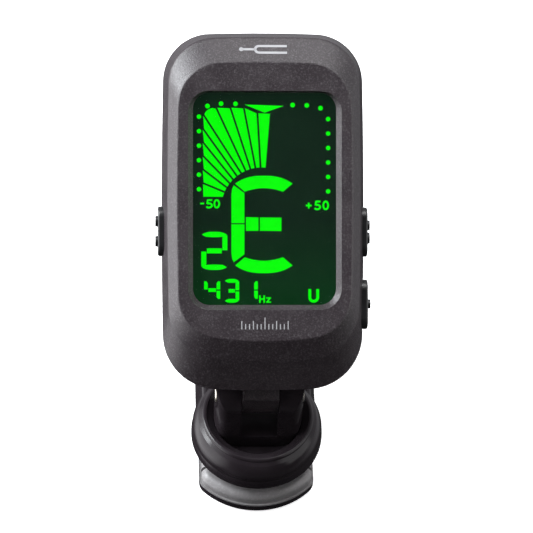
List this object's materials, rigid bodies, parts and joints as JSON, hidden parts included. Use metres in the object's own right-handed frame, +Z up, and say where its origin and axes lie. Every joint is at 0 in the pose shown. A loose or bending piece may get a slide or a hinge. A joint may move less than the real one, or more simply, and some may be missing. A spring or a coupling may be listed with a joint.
{
  "type": "clip-on tuner",
  "caption": "Clip-on instrument tuner: rounded display head on a tilting, swivelling fork over a sprung clip with grey rubber pads.",
  "frame": {"origin": "swivel axis at the lower jaw's flat underside", "axes": "+Z up along the swivel axis, -Y towards the jaw tip, X across the clip"},
  "size_m": [0.0348, 0.0553, 0.0644],
  "materials": {
    "shell_black": "fine-grained charcoal black plastic with a soft satin sheen",
    "clip_black": "smooth semi-gloss black plastic",
    "button_black": "satin black moulded buttons",
    "pad_grey": "soft satin grey rubber",
    "steel": "plain turned steel",
    "spring_steel": "drawn spring wire and strip",
    "clear_lens": "clear polished window",
    "lcd_glass": "dark display glass with green lit segments",
    "white_plastic": "matt white",
    "connector_rubber": "striped elastomer",
    "board": "green solder mask",
    "chip_black": "matt black epoxy",
    "switch_body": "moulded",
    "brass": "plain brass",
    "wire_red": "insulated wire",
    "cell_can": "nickelled steel can"
  },
  "bodies": {
    "lower_jaw": {"lower_jaw": "clip_black", "lower_pad": "pad_grey", "jaw_pin": "steel"},
    "upper_jaw": {"upper_jaw": "clip_black", "upper_pad": "pad_grey", "jaw_spring": "spring_steel"},
    "swivel": {"swivel_fork": "clip_black", "tilt_pin": "steel", "swivel_washer": "steel", "swivel_screw": "steel"},
    "head": {"front_shell": "shell_black", "rear_shell": "shell_black", "display_lens": "clear_lens", "lcd_panel": "lcd_glass", "lcd_frame": "white_plastic", "backlight_panel": "white_plastic", "zebra_connector": "connector_rubber", "circuit_board": "board", "controller_chip": "chip_black", "board_parts": "chip_black", "tact_switches": "switch_body", "piezo_disc": "brass", "piezo_wires": "wire_red", "battery": "cell_can", "battery_contact_negative": "spring_steel", "battery_contact_positive": "spring_steel", "shell_screws": "steel"},
    "battery_door": {"battery_door": "shell_black"},
    "left_button": {"left_button": "button_black"},
    "upper_right_button": {"upper_right_button": "button_black"},
    "lower_right_button": {"lower_right_button": "button_black"}
  },
  "joints": [
    {"name": "jaw_open", "type": "hinge", "parent": "lower_jaw", "child": "upper_jaw", "pos_m": [0, 0.02, 0.0065], "axis": [-1, 0, 0], "range_deg": [0, 30], "stiffness_Nm_per_rad": 0.2, "springref_deg": -2.86, "deforming": ["jaw_spring"]},
    {"name": "swivel", "type": "hinge", "parent": "upper_jaw", "child": "swivel", "pos_m": [0, 0, 0.0124], "axis": [0, 0, 1], "continuous": true},
    {"name": "head_tilt", "type": "hinge", "parent": "swivel", "child": "head", "pos_m": [0, 0, 0.0186], "axis": [1, 0, 0], "range_deg": [-37, 68]},
    {"name": "battery_door_slide", "type": "slide", "parent": "head", "child": "battery_door", "axis": [0, 0.8, 0.6], "range_m": [0, 0.034]},
    {"name": "left_button_press", "type": "slide", "parent": "head", "child": "left_button", "axis": [1, 0, 0], "range_m": [0, 0.00035], "stiffness_N_per_m": 3000, "springref_m": -0.0001},
    {"name": "upper_right_button_press", "type": "slide", "parent": "head", "child": "upper_right_button", "axis": [-1, 0, 0], "range_m": [0, 0.00035], "stiffness_N_per_m": 3000, "springref_m": -0.0001},
    {"name": "lower_right_button_press", "type": "slide", "parent": "head", "child": "lower_right_button", "axis": [-1, 0, 0], "range_m": [0, 0.00035], "stiffness_N_per_m": 3000, "springref_m": -0.0001}
  ]
}
